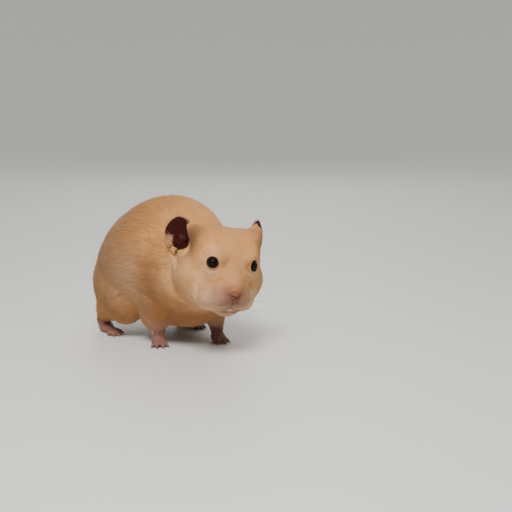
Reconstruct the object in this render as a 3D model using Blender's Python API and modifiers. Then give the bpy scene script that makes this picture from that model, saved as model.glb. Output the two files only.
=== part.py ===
"""A Syrian hamster at life size, standing on all fours with its head turned to its right.

Run it with  blender --background --python part.py  or from the text editor.
Units are metres, +Z is up, the hamster faces +X and its left side is at +Y.
The origin is on the floor, under the middle of the model's bounding box.
The solids follow the outside of the coat. Trunk, neck, head and legs are modelled as
one body of rounded masses, then parted by thin curved cuts. Lengths given to the
shape functions are in millimetres.
"""

import math

import bmesh
import bpy
import numpy as np
from mathutils import Euler, Matrix, Vector

MM = 0.001
GAP = 0.3  # clearance between neighbouring pieces
GRAIN = 1.2  # voxel size that fuses the body's masses
FINE_GRAIN = 0.42  # voxel size that fuses a foot's toes and claws

# Trunk: x, sideways bend, top of back, belly, half width
TRUNK = (
    (-51, 0, 35, 27, 4),
    (-49, 0, 43, 20, 13),
    (-45, 0, 51.5, 14, 20.5),
    (-39, 0, 59, 11, 26.5),
    (-30, 0, 66, 9, 31),
    (-19, 0, 71.5, 8, 33),
    (-7, 0, 74, 8, 32.5),
    (4, -1, 72.5, 8, 30.5),
    (14, -2.5, 68, 8.5, 27),
    (23, -4, 62, 11, 22.5),
    (32, -5, 56.5, 16, 18.5),
    (40, -6, 52, 22, 15),
    (46, -6, 46, 30, 8),
)

# The head's frame: x towards the nose, y to the left, z up, origin between ears and eyes
HEAD_PLACE = Vector((44.0, -6.0, 43.5)) * MM
HEAD_TURN = -19.0  # degrees, to its right
HEAD_NOD = 11.8  # degrees, nose down
HEAD_TILT = -7.9  # degrees, towards its left
EYE_RADIUS = 2.95
EYE_PLACE = (10.6, 9.5, 4.4)
NOSE_PLACE = (21.2, 0, -7.4)
NOSE_RADII = (1.9, 2.5, 1.8)

# Ears, in the head's frame, for the left side; each is then shifted a little
EAR_BASE = (-9.5, 15.0, 1.0)
EAR_TIP = (-15.5, 22.2, 17.0)
EAR_FACES = (0.62, 0.74, 0.2)  # direction the open side looks in
EAR_WIDTH = 19.0
EAR_CUP = 4.0
EAR_FRONT_DROP = 0.34  # how much lower the front of the rim is, as a share
EAR_WALL = 1.1
EAR_HOLLOW = (4.4, 7.0, 7.5)
EAR_LIFT = {"left": 2.6, "right": 0.5}

# Furred ridge of the head in front of each ear: x, y, z, radius
EAR_RIDGE = ((2, 11.5, 8.0, 4.4), (-2, 14.2, 10.8, 3.8), (-6, 16.6, 13.4, 2.8), (-9.2, 18.2, 15.4, 1.7))

# Feet: heel x, y, turn in degrees
FOREFEET = {"left": (16.0, 11.0, -22), "right": (4.0, -17.0, -28)}
HINDFEET = {"left": (-27, 18, 4), "right": (-42, -22, -6)}
FOREFOOT_CUT = 5.2
HINDFOOT_CUT = 6.5

TAIL = ((-42, 0, 21, 2.6), (-47, 0, 19.5, 2.3), (-52, 0.4, 18, 1.7), (-55, 1.0, 17, 1.1))

# Triangles left after the fused shapes are thinned out
BODY_TRIANGLES = 2450
FOOT_TRIANGLES = 380

COAT = (0.56, 0.36, 0.20)
PALE_COAT = (0.62, 0.47, 0.36)
PINK = (0.55, 0.33, 0.27)
EAR_GREY = (0.13, 0.08, 0.06)
BLACK = (0.01, 0.008, 0.008)

SIDES = {"left": 1, "right": -1}


def turned(roll, pitch, yaw):
    return Euler([math.radians(a) for a in (roll, pitch, yaw)]).to_matrix().to_4x4()


def head_pose():
    """The matrix from the head's frame to the floor's."""
    return Matrix.Translation(HEAD_PLACE) @ turned(HEAD_TILT, HEAD_NOD, HEAD_TURN)


# ---------------------------------------------------------------- tools


def clear_scene():
    for obj in list(bpy.data.objects):
        bpy.data.objects.remove(obj)


def collection(name):
    made = bpy.data.collections.new(name)
    bpy.context.scene.collection.children.link(made)
    return made


def material(name, colour, roughness):
    made = bpy.data.materials.new(name)
    made.use_nodes = True
    shader = made.node_tree.nodes["Principled BSDF"]
    shader.inputs["Base Color"].default_value = (*colour, 1)
    shader.inputs["Roughness"].default_value = roughness
    shader.inputs["Metallic"].default_value = 0
    return made


def add(name, mesh, group):
    obj = bpy.data.objects.new(name, mesh)
    group.objects.link(obj)
    return obj


def add_bmesh(name, bm, group):
    mesh = bpy.data.meshes.new(name)
    bm.to_mesh(mesh)
    bm.free()
    return add(name, mesh, group)


def baked(obj):
    """The object's mesh with its modifiers applied."""
    bpy.context.view_layer.update()
    graph = bpy.context.evaluated_depsgraph_get()
    return bpy.data.meshes.new_from_object(obj.evaluated_get(graph), depsgraph=graph)


def apply(obj):
    obj.data = baked(obj)
    obj.modifiers.clear()
    return obj


def grown(obj, by, group):
    """A copy that stands out from the surface all round."""
    copy = add(obj.name + "_grown", obj.data.copy(), group)
    push = copy.modifiers.new("grow", "DISPLACE")
    push.mid_level = 0
    push.strength = by * MM
    return apply(copy)


def cut(obj, other, operation="DIFFERENCE"):
    step = obj.modifiers.new(operation.lower() + "_" + other.name, "BOOLEAN")
    step.operation = operation
    step.solver = "EXACT"
    step.object = other


# ---------------------------------------------------------------- shapes


def ball(name, centre, radii, group, pose=None, turn=(0, 0, 0), segments=32):
    """An ellipsoid, turned by degrees about its centre and then posed."""
    bm = bmesh.new()
    bmesh.ops.create_uvsphere(bm, u_segments=segments, v_segments=segments // 2, radius=1)
    place = Matrix.Translation(Vector(centre) * MM) @ turned(*turn)
    place @= Matrix.Diagonal((*(r * MM for r in radii), 1))
    bm.transform((pose or Matrix()) @ place)
    return add_bmesh(name, bm, group)


def limb(name, knots, group, pose=None):
    """A tapered round tube with domed ends through knots (x, y, z, radius)."""
    x, y, z, radius = np.array(knots, float).T
    at = np.arange(len(knots))
    fine = np.linspace(0, at[-1], 8 * at[-1] + 1)
    path = np.stack([np.interp(fine, at, v) for v in (x, y, z, radius)], 1)
    for _ in range(5):
        path[1:-1] = (path[:-2] + 2 * path[1:-1] + path[2:]) / 4
    bm = bmesh.new()
    for px, py, pz, pr in path:
        place = Matrix.Translation(Vector((px, py, pz)) * MM) @ Matrix.Scale(pr * MM, 4)
        bmesh.ops.create_icosphere(bm, subdivisions=2, radius=1, matrix=place)
    bm.transform(pose or Matrix())
    return add_bmesh(name, bm, group)


def trunk_shape(group):
    """The trunk's loft: rings across the bent spine, fuller below than above."""
    table = np.array(TRUNK, float)
    x0, x1 = table[0, 0], table[-1, 0]
    bm = bmesh.new()
    bmesh.ops.create_uvsphere(bm, u_segments=48, v_segments=40, radius=1)
    for v in bm.verts:
        along, up = v.co.z, v.co.x
        ring = max(math.hypot(v.co.x, v.co.y), 1e-6)
        x = (x0 + x1) / 2 + (x1 - x0) / 2 * math.sin(along * math.pi / 2)
        bend, top, belly, half = (np.interp(x, table[:, 0], c) for c in table[:, 1:].T)
        middle = belly + (top - belly) * 0.45
        size = min(1.0, ring * 6)
        rise = up / ring * size
        side = v.co.y / ring * size
        height = middle + rise * ((top - middle) if rise > 0 else (middle - belly))
        v.co = Vector((x, bend + side * half, height)) * MM
    return add_bmesh("trunk_mass", bm, group)


def body_masses(group):
    """The rounded masses of trunk, neck, head and legs, before they are fused."""
    head = head_pose()
    skull = [
        ("cranium", (-5, 0, 3), (17.5, 15, 14), (0, 0, 0)),
        ("forehead", (2.5, 0, 2.2), (12.5, 10.4, 11.5), (0, 22, 0)),
        ("occiput", (-14, 0, -3), (13, 16, 15), (0, 0, 0)),
        ("snout", (10, 0, -4), (10.5, 8.0, 8.0), (0, 28, 0)),
        ("bridge", (16.3, 0, -5.6), (5.6, 4.6, 4.4), (0, 30, 0)),
        ("jaw", (7, 0, -13.2), (10.8, 9, 7.4), (0, 8, 0)),
        ("chin", (13.2, 0, -15.8), (5.2, 6.6, 4.8), (0, 14, 0)),
    ]
    skull_pairs = [
        ("cheek", (-6, 11.5, -7), (14.5, 10.5, 12), (0, 0, 6)),
        ("crown", (-5, 9, 8.0), (12, 8.5, 9.5), (0, 0, 0)),
        ("temple", (1.5, 12, 3), (9, 5.2, 8), (0, 0, -18)),
        ("whisker_pad", (14.8, 5.0, -10.2), (5.8, 5.2, 5.4), (0, 15, 14)),
        ("brow", (8.0, 6.4, 7.6), (6.5, 4.2, 3.8), (0, 10, -20)),
        ("jowl", (4, 8.2, -11.5), (12, 7.8, 8.2), (0, 8, 8)),
        ("lower_lid", (8.5, 7.4, -2.0), (7.5, 5.0, 5.0), (0, 14, -14)),
    ]
    leg_pairs = [
        ("shoulder", (7, 18.5, 27), (12, 9.5, 16), (0, 0, 0)),
        ("haunch", (-26, 19, 27), (20, 13, 19), (0, 0, 0)),
        ("knee", (-20, 22, 18), (13, 9, 11), (0, 30, 0)),
    ]
    made = [trunk_shape(group)]
    made += [ball(n, c, r, group, pose=head, turn=t) for n, c, r, t in skull]
    for pairs, pose in ((skull_pairs, head), (leg_pairs, None)):
        for n, (x, y, z), r, (a, b, c) in pairs:
            for side, sign in SIDES.items():
                at, turn = (x, y * sign, z), (a * sign, b, c * sign)
                made.append(ball(f"{n}_{side}", at, r, group, pose, turn))
    for side, out in SIDES.items():
        knots = [(x, y * out, z + EAR_LIFT[side], r) for x, y, z, r in EAR_RIDGE]
        made.append(limb(f"ear_ridge_{side}", knots, group, head))
    for side, (x, y, _) in FOREFEET.items():
        out = SIDES[side]
        knots = ((x - 2, y - out, 24, 7), (x - 4, y + 2 * out, 15, 6.5), (x, y, 8, 4.0), (x + 1, y, 4.5, 3.4))
        made.append(limb(f"forearm_{side}", knots, group))
    for side, (x, y, _) in HINDFEET.items():
        out = SIDES[side]
        knots = ((x + 12, y - 2 * out, 18, 10), (x + 6, y, 10, 6.5), (x + 3.5, y, 5, 4.2))
        made.append(limb(f"shank_{side}", knots, group))
    return made


def fused(name, masses, group, grain, rounds, triangles):
    """One smooth closed shape from masses that overlap."""
    bm = bmesh.new()
    for mass in masses:
        bm.from_mesh(mass.data)
        bpy.data.objects.remove(mass)
    obj = add_bmesh(name, bm, group)
    remesh = obj.modifiers.new("fuse", "REMESH")
    remesh.mode = "VOXEL"
    remesh.voxel_size = grain * MM
    smooth = obj.modifiers.new("blend", "SMOOTH")
    smooth.factor = 0.5
    smooth.iterations = rounds
    obj.modifiers.new("triangulate", "TRIANGULATE")
    apply(obj)
    decimate = obj.modifiers.new("thin_out", "DECIMATE")
    decimate.ratio = min(1.0, triangles / len(obj.data.polygons))
    return apply(obj)


def foot(name, kind, place, group):
    """A paw with toes and claws, fused, flat on the floor."""
    x, y, turn = place
    pose = Matrix.Translation(Vector((x, y, 0)) * MM) @ turned(0, 0, turn)
    if kind == "fore":
        masses = [
            ball("palm", (3.4, 0, 2.0), (4.4, 3.8, 2.4), group, pose),
            limb("ankle", ((0.5, 0, 9, 4.0), (1, 0, 5, 3.4), (2.2, 0, 2.5, 2.4)), group, pose),
        ]
        toes = ((-32, 3.6, 0.95), (-11, 4.4, 1.05), (11, 4.4, 1.05), (32, 3.6, 0.95))
        root = 3.3
        heel = 2.9
    else:
        masses = [
            ball("sole", (6.5, 0, 1.9), (8, 3.5, 2.4), group, pose),
            limb("ankle", ((2.5, 0, 11, 5.0), (2.5, 0, 6, 4.0), (3, 0, 3, 2.8)), group, pose),
        ]
        toes = ((-34, 3.4, 0.95), (-15, 4.8, 1.1), (0, 5.2, 1.1), (15, 4.8, 1.1), (36, 3.4, 0.95))
        root = 3.4
        heel = 10
    for angle, length, radius in toes:
        way = Vector((math.cos(math.radians(angle)), math.sin(math.radians(angle)), 0))
        start = Vector((heel, 0, 0)) + way * root
        reach = [(0, 1.9, radius), (0.5, 2.2, radius), (1.0, 0.9, radius * 0.95)]
        knots = [(*(start + way * length * t)[:2], z, r) for t, z, r in reach]
        masses.append(limb("toe", knots, group, pose))
        reach = [(0.95, 1.3, 0.55), (1.25, 1.0, 0.48), (1.5, 0.4, 0.4)]
        knots = [(*(start + way * length * t)[:2], z, r) for t, z, r in reach]
        masses.append(limb("claw", knots, group, pose))
    return fused(name, masses, group, FINE_GRAIN, 3, FOOT_TRIANGLES)


def ear(name, sign, lift, group):
    """A cupped leaf, its front edge rolled in, as thick as the furred ear."""
    base = Vector((EAR_BASE[0], EAR_BASE[1] * sign, EAR_BASE[2] + lift))
    tip = Vector((EAR_TIP[0], EAR_TIP[1] * sign, EAR_TIP[2] + lift))
    length = (tip - base).length
    up = (tip - base).normalized()
    face = Vector((EAR_FACES[0], EAR_FACES[1] * sign, EAR_FACES[2]))
    face = (face - face.dot(up) * up).normalized()
    front = (up.cross(face) * -sign).normalized()
    across, along = 10, 7
    bm = bmesh.new()
    grid = []
    for j in range(along + 1):
        t = j / along
        row = []
        for i in range(across + 1):
            s = 2 * i / across - 1
            crest = t * (0.6 + 0.4 * math.sqrt(1 - 0.97 * s * s)) * (1 - EAR_FRONT_DROP * max(0, s) ** 1.5)
            half = EAR_WIDTH / 2 * (0.5 + 0.5 * math.sin(math.pi / 2 * min(1, crest / 0.58)))
            cup = EAR_CUP * s * s * (1 - 0.6 * crest) + 9 * max(0, s - 0.45) ** 2
            rise = crest * (length + 3) - 3
            point = base + up * rise + front * (s * half) + face * (cup - 2)
            row.append(bm.verts.new(point * MM))
        grid.append(row)
    for j in range(along):
        for i in range(across):
            bm.faces.new((grid[j][i], grid[j][i + 1], grid[j + 1][i + 1], grid[j + 1][i]))
    bm.transform(head_pose())
    obj = add_bmesh(name, bm, group)
    wall = obj.modifiers.new("wall", "SOLIDIFY")
    wall.thickness = EAR_WALL * MM
    wall.offset = 0
    wall.use_even_offset = True
    apply(obj)
    bm = bmesh.new()
    bm.from_mesh(obj.data)
    bmesh.ops.recalc_face_normals(bm, faces=bm.faces)
    bm.to_mesh(obj.data)
    bm.free()
    return obj


def territory(name, centre, radii, helpers, pose=None):
    """A cutter that says where one piece of the body ends, and its grown twin."""
    inner = ball(name, centre, radii, helpers, pose, segments=22)
    outer = ball(name + "_rim", centre, [r + GAP for r in radii], helpers, pose, segments=22)
    return inner, outer


def slab(name, low, high, helpers):
    """A box from one corner to the other, used as a cutter."""
    bm = bmesh.new()
    bmesh.ops.create_cube(bm, size=1)
    low, high = Vector(low) * MM, Vector(high) * MM
    bm.transform(Matrix.Translation((low + high) / 2) @ Matrix.Diagonal((*(high - low), 1)))
    return add_bmesh(name, bm, helpers)


def piece(name, source, keep, drop, group):
    """The part of the source inside one cutter and outside the others."""
    obj = add(name, source.data.copy(), group)
    if keep:
        cut(obj, keep, "INTERSECT")
    for cutter in drop:
        cut(obj, cutter)
    return obj


def spread(island):
    """The diagonal of the box round a set of vertices."""
    places = np.array([v.co for v in island])
    return float(np.linalg.norm(places.max(0) - places.min(0)))


def largest_body(obj):
    """Drops crumbs a curved cut can leave beside the piece."""
    bm = bmesh.new()
    bm.from_mesh(obj.data)
    left = set(bm.verts)
    islands = []
    while left:
        seed = left.pop()
        island, edge = {seed}, [seed]
        while edge:
            v = edge.pop()
            for e in v.link_edges:
                other = e.other_vert(v)
                if other not in island:
                    island.add(other)
                    edge.append(other)
        left -= island
        islands.append(island)
    islands.sort(key=spread)
    crumbs = [v for island in islands[:-1] for v in island]
    bmesh.ops.delete(bm, geom=crumbs, context="VERTS")
    bm.to_mesh(obj.data)
    bm.free()


def finish(obj, skin):
    apply(obj)
    largest_body(obj)
    obj.data.materials.clear()
    obj.data.materials.append(skin)
    obj.data.shade_smooth()
    obj.data.set_sharp_from_angle(angle=math.radians(50))


def centre_on_floor(objects):
    """Moves the pieces so the middle of their common box is over the origin."""
    places = np.array([v.co for obj in objects for v in obj.data.vertices])
    middle = (places.min(0) + places.max(0)) / 2
    shift = Matrix.Translation((-middle[0], -middle[1], -places[:, 2].min()))
    for obj in objects:
        obj.data.transform(shift)


# ---------------------------------------------------------------- the model


def main():
    clear_scene()
    model = collection("syrian_hamster")
    helpers = collection("helpers")
    coat = material("coat", COAT, 0.9)
    pale = material("pale_coat", PALE_COAT, 0.9)
    pink = material("skin", PINK, 0.6)
    grey = material("ear_skin", EAR_GREY, 0.8)
    black = material("eye", BLACK, 0.05)
    head = head_pose()

    body = fused("body", body_masses(helpers), helpers, GRAIN, 12, BODY_TRIANGLES)
    skull, skull_rim = territory("skull", (4, 0, -1), (24, 32, 30), helpers, head)
    ruff, ruff_rim = territory("ruff", (-8, 0, -3), (25, 34, 31), helpers, head)

    # Small parts seated in the head
    seats = []
    for side, sign in SIDES.items():
        place = (EYE_PLACE[0], EYE_PLACE[1] * sign, EYE_PLACE[2])
        eye = ball(f"eye_{side}", place, (EYE_RADIUS,) * 3, model, head, segments=14)
        finish(eye, black)
        seats.append(ball(f"socket_{side}", place, (EYE_RADIUS + GAP,) * 3, helpers, head, segments=16))
    nose = ball("nose", NOSE_PLACE, NOSE_RADII, model, head, segments=12)
    finish(nose, pink)
    seats.append(ball("nose_seat", NOSE_PLACE, [r + GAP for r in NOSE_RADII], helpers, head, segments=12))

    # Ears stand on the outside of the head, over a hollow
    body_rim = grown(body, GAP, helpers)
    for side, sign in SIDES.items():
        at = (EAR_BASE[0] + 0.2, (EAR_BASE[1] + 3.2) * sign, EAR_BASE[2] + 6.0 + EAR_LIFT[side])
        turn = (0, -14, 50 * sign)
        cut(body, ball(f"ear_hollow_{side}", at, EAR_HOLLOW, helpers, head, turn, 16))
        room = [r - GAP for r in EAR_HOLLOW]
        cut(body_rim, ball(f"ear_room_{side}", at, room, helpers, head, turn, 16))
    apply(body)
    apply(body_rim)
    for side, sign in SIDES.items():
        obj = ear(f"ear_{side}", sign, EAR_LIFT[side], model)
        cut(obj, body_rim)
        finish(obj, grey)

    # Feet up to the ankle, flat on the floor
    soles = {}
    for kind, places, height in (("fore", FOREFEET, FOREFOOT_CUT), ("hind", HINDFEET, HINDFOOT_CUT)):
        for side, (x, y, turn) in places.items():
            name = f"{kind}foot_{side}"
            obj = foot(name, kind, (x, y, turn), model)
            room = slab(name + "_room", (x - 12, y - 12, 0), (x + 32, y + 12, height), helpers)
            cut(obj, room, "INTERSECT")
            finish(obj, pink)
            low = (x - 9, y - 8, -6)
            soles[name] = slab(name + "_clearance", low, (x + 12, y + 8, height + GAP), helpers)

    # Legs, then neck, then what is left is the trunk
    legs = []
    for side, sign in SIDES.items():
        x, y, _ = FOREFEET[side]
        inner, outer = territory(f"arm_{side}", (x, y + 2 * sign, 10), (12, 8.5, 14), helpers)
        obj = piece(f"foreleg_{side}", body, inner, [ruff_rim, soles[f"forefoot_{side}"]], model)
        finish(obj, pale)
        legs.append(outer)
        x, y, _ = HINDFEET[side]
        inner, outer = territory(f"thigh_{side}", (x + 12, y + 6 * sign, 17), (17, 13, 20), helpers)
        obj = piece(f"hindleg_{side}", body, inner, [soles[f"hindfoot_{side}"]], model)
        finish(obj, coat)
        legs.append(outer)
    finish(piece("head", body, skull, seats, model), coat)
    finish(piece("neck", body, ruff, [skull_rim], model), coat)
    floor = slab("floor_clearance", (-90, -60, -20), (90, 60, 3), helpers)
    finish(piece("trunk", body, None, [skull_rim, ruff_rim, *legs, *soles.values(), floor], model), coat)

    # A short tail under the rump
    tail = limb("tail_mass", TAIL, helpers)
    tail = fused("tail", [tail], model, 0.7, 2, 160)
    cut(tail, body_rim)
    finish(tail, pink)

    for obj in helpers.objects:
        obj.hide_render = True
        obj.display_type = "WIRE"
    centre_on_floor(model.objects)


main()
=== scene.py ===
import math

import bpy
import numpy as np
from mathutils import Matrix, Vector, noise
from mathutils.bvhtree import BVHTree


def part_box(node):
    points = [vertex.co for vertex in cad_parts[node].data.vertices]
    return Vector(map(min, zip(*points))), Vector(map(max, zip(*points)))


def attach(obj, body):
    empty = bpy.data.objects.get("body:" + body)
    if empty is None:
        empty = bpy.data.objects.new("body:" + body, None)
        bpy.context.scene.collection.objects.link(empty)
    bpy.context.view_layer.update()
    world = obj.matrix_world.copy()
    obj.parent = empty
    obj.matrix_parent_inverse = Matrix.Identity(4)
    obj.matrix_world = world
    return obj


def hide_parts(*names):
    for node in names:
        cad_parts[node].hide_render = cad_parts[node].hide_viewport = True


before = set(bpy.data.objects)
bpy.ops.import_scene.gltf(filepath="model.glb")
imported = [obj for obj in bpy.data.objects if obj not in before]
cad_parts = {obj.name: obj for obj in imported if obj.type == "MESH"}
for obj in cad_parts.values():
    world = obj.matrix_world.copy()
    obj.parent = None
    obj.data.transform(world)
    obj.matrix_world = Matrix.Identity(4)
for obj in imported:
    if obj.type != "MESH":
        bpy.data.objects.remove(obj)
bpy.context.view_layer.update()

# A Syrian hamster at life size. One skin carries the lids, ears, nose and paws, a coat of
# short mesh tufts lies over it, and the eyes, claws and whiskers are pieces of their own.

mm = 0.001
sides = {"left": 1, "right": -1}
luck = np.random.default_rng(11)

# Which nodes make up each part of the body
partNodes = {
    "trunk": ["trunk"],
    "neck": ["neck"],
    "head": ["head"],
    "foreleg": ["foreleg_left", "foreleg_right"],
    "hindleg": ["hindleg_left", "hindleg_right"],
    "paw": ["forefoot_left", "forefoot_right", "hindfoot_left", "hindfoot_right"],
    "ear": ["ear_left", "ear_right"],
    "nose": ["nose"],
    "tail": ["tail"],
}
partList = list(partNodes)


def say(text):
    print("hamster:", text)


def middle(node):
    low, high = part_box(node)
    return (low + high) / 2


# The head's own frame: x towards the nose, y to its left, z up
headValues = {
    "noseDip": 48.07,  # degrees from the head's level down to the line from eyes to nose
    "eyesForward": 10.6 * mm,
    "eyesUp": 4.4 * mm,
    "muzzle": (14, 0, -4),  # places in its frame, in mm
    "noseTip": (22, 0, -8),
    "hairFrom": (24, 0, -5),  # where the head's hair runs back from
}


def headPose():
    left, right = middle("eye_left"), middle("eye_right")
    across = (left - right).normalized()
    between = (left + right) / 2
    down = middle("nose") - between
    down -= across * down.dot(across)
    dip = Matrix.Rotation(math.radians(-headValues["noseDip"]), 3, across)
    forward = (dip @ down).normalized()
    up = forward.cross(across)
    pose = Matrix((forward, across, up)).transposed().to_4x4()
    pose.translation = between - forward * headValues["eyesForward"] - up * headValues["eyesUp"]
    return pose


head = headPose()
headAxes = np.array(head.to_3x3())
headOrigin = np.array(head.translation)


def toHead(points):
    return (points - headOrigin) @ headAxes


def fromHead(places):
    # places in mm in the head's frame, as world points
    return np.array(places, float) * mm @ headAxes.T + headOrigin


# Small tools

def selectOnly(*pieces):
    bpy.ops.object.select_all(action="DESELECT")
    for piece in pieces:
        piece.select_set(True)
    bpy.context.view_layer.objects.active = pieces[0]


def newPiece(name, data):
    piece = bpy.data.objects.new(name, data)
    bpy.context.scene.collection.objects.link(piece)
    return piece


def dropped(piece):
    mesh = piece.data
    bpy.data.objects.remove(piece)
    bpy.data.meshes.remove(mesh)


def added(operator, **settings):
    # a new primitive, with nothing else selected
    bpy.ops.object.select_all(action="DESELECT")
    operator(**settings)
    return bpy.context.object


def applied(piece, kind, **settings):
    selectOnly(piece)
    step = piece.modifiers.new(kind.lower(), kind)
    for name, value in settings.items():
        setattr(step, name, value)
    bpy.ops.object.modifier_apply(modifier=step.name)


def joined(pieces, name):
    selectOnly(*pieces)
    bpy.ops.object.join()
    pieces[0].name = name
    return pieces[0]


def inEditMode(piece, *steps, faces=None):
    # runs each mesh operator, given with its settings, on the whole piece or on some faces
    selectOnly(piece)
    bpy.context.tool_settings.mesh_select_mode = (False, False, True)
    for items in (piece.data.vertices, piece.data.edges, piece.data.polygons):
        items.foreach_set("select", np.full(len(items), faces is None))
    if faces is not None:
        piece.data.polygons.foreach_set("select", faces)
    bpy.ops.object.mode_set(mode="EDIT")
    for operator, settings in steps:
        operator(**settings)
    bpy.ops.object.mode_set(mode="OBJECT")


def nodeCopy(node, swell=0.0, rounder=0):
    # a closed copy of a CAD node, made larger or smaller by swell and rounded off
    piece = newPiece(node + "_copy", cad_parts[node].data.copy())
    piece.data.materials.clear()
    inEditMode(piece, (bpy.ops.mesh.remove_doubles, {"threshold": 0.01 * mm}))
    if rounder:
        inEditMode(piece, (bpy.ops.mesh.tris_convert_to_quads, {}))
        applied(piece, "SUBSURF", levels=rounder, render_levels=rounder)
    if swell:
        applied(piece, "DISPLACE", strength=swell, mid_level=0)
    return piece


def read(items, name, width, kind=float):
    flat = np.empty(len(items) * width, kind)
    items.foreach_get(name, flat)
    return flat.reshape(-1, width) if width > 1 else flat


def pointsOf(piece):
    return read(piece.data.vertices, "co", 3)


def normalsOf(piece):
    return read(piece.data.vertex_normals, "vector", 3)


def placePoints(piece, points):
    piece.data.vertices.foreach_set("co", points.ravel())
    piece.data.update()


def evened(piece, values, rounds, weight=1.0):
    # averages values with their neighbours along the edges
    a, b = read(piece.data.edges, "vertices", 2, int).T
    size = len(values)
    touching = np.maximum(np.bincount(a, minlength=size) + np.bincount(b, minlength=size), 1)
    for _ in range(rounds):
        sums = [np.bincount(a, v[b], size) + np.bincount(b, v[a], size) for v in values.T]
        values = values + (np.stack(sums, 1) / touching[:, None] - values) * 0.5 * weight
    return values


def unit(vectors):
    return vectors / np.maximum(np.linalg.norm(vectors, axis=-1, keepdims=True), 1e-9)


def ramp(value, low, high, least=0.0):
    # rises smoothly from least at low to 1 at high
    t = np.clip((value - low) / (high - low), 0, 1)
    rise = t * t * (3 - 2 * t)
    return least + (1 - least) * rise


def treeOf(pieces):
    places, faces = [], []
    for piece in pieces:
        start = len(places)
        places += [v.co.copy() for v in piece.data.vertices]
        faces += [[start + i for i in f.vertices] for f in piece.data.polygons]
    return BVHTree.FromPolygons(places, faces)


def nearest(tree, points):
    hits = [tree.find_nearest(p) for p in points.tolist()]
    places = np.array([hit[0][:] for hit in hits])
    normals = np.array([hit[1][:] for hit in hits])
    return places, normals, np.array([hit[3] for hit in hits])


partTrees = {part: treeOf([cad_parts[n] for n in nodes]) for part, nodes in partNodes.items()}


def partGaps(points, limit=10 * mm):
    # how far each point is from each part, up to the limit
    rows = points.tolist()
    gaps = [[tree.find_nearest(p, limit)[3] for p in rows] for tree in partTrees.values()]
    return np.nan_to_num(np.array(gaps, float).T, nan=limit)


def sharesOf(gaps, blend):
    # how far each point belongs to each part, as shares that add up to one
    share = np.exp((gaps.min(1, keepdims=True) - gaps) / blend)
    return share / share.sum(1, keepdims=True)


def shareOf(shares, part):
    return shares[:, partList.index(part)]


def byPart(shares, table):
    return shares @ np.array([table[part] for part in partList])


eyeCentres = {side: np.array(middle(f"eye_{side}")) for side in sides}
eyeRadius = (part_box("eye_left")[1].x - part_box("eye_left")[0].x) / 2


def fromEyes(points):
    return np.min([np.linalg.norm(points - c, axis=1) for c in eyeCentres.values()], axis=0)


# Creases and swellings of the face and flank: height, width and path in mm, where a
# minus is a crease. Those of the face are in the head's frame and are mirrored.
faceFolds = {
    "noseBed": (0.8, 2.0, [(19.6, 2.6, -6.2), (20.0, 0, -5.0)]),
    "lipTop": (0.5, 1.5, [(20.6, 1.8, -9.8), (19.8, 3.0, -10.6)]),
    "philtrum": (-0.6, 0.6, [(21.5, 0, -10.0), (18.8, 0, -13.6)]),
    "mouth": (-0.65, 0.8, [(18.2, 0, -15.0), (17.4, 2.2, -15.7),
                           (15.6, 4.4, -15.2), (13.5, 6.0, -14.0)]),
    "whiskerPad": (0.5, 3.2, [(19.2, 3.8, -11.4), (15.5, 6.8, -11.0)]),
    "besideNose": (-0.2, 1.8, [(17.6, 5.7, -5.1), (18.9, 4.5, -6.2), (20.6, 3.1, -8.0)]),
    "innerLid": (0.6, 2.0, [(14.2, 7.4, 3.6), (14.6, 6.6, 2.0)]),
    "brow": (0.5, 1.8, [(13.6, 7.0, 6.8), (11.2, 10.2, 8.8), (7.6, 12.2, 8.2)]),
    "underEyePad": (0.35, 1.6, [(13.6, 9.4, 0.8), (10.6, 12.4, -0.2), (7.2, 13.4, 1.2)]),
    "underEyeFold": (-0.7, 1.5, [(14.8, 6.6, -1.0), (12.9, 10.4, -3.4),
                                 (9.7, 12.4, -5.6), (8.4, 14.3, -8.2)]),
    "cheekFront": (-0.5, 2.6, [(8.8, 13.5, -8.5), (9.6, 13.3, -13.0)]),
    "cheek": (0.7, 4.0, [(-2.0, 20.5, -5.0), (-1.0, 19.5, -11.0)]),
    "cheekEdge": (-1.2, 1.9, [(-12.5, 23.2, -4.7), (-9.8, 22.9, -10.3), (-8.2, 22.2, -13.7),
                              (-5.1, 19.3, -17.9), (-0.5, 14.5, -18.8), (8.5, 11.5, -17.6)]),
    "belowEar": (-1.1, 1.3, [(-13.7, 21.5, -0.9), (-9.7, 20.8, -2.5), (-4.7, 21.5, -4.2)]),
    "behindEar": (-0.8, 1.6, [(-15.5, 17.5, 6.0), (-14.0, 20.0, 2.0), (-11.0, 20.5, -3.0)]),
}
flankFolds = {
    "shoulderParting": (-0.4, 1.9, [(-1.9, -31.4, 41.3), (5.0, -30.6, 40.2),
                                    (11.6, -28.6, 40.1), (20, -25.7, 39.9)]),
    "ruffParting": (-0.4, 2.0, [(2.0, -27.5, 55.0), (8.0, -26.0, 51.0), (16.0, -23.0, 49.0)]),
    "elbowParting": (-0.45, 2.2, [(-8.0, -32.0, 30.0), (0.0, -31.0, 27.0), (9.0, -27.0, 25.0)]),
}


def closeness(points, knots, width):
    # 1 on the path and falling to 0 beyond its width
    gap = np.full(len(points), 1.0)
    for start, end in zip(knots[:-1], knots[1:]):
        run = end - start
        share = np.clip((points - start) @ run / max(run @ run, 1e-12), 0, 1)
        gap = np.minimum(gap, np.linalg.norm(points - start - share[:, None] * run, axis=1))
    return np.exp(-(gap / width) ** 2)


def plainMm(places):
    # places in mm, as world points
    return np.array(places, float) * mm


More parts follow.
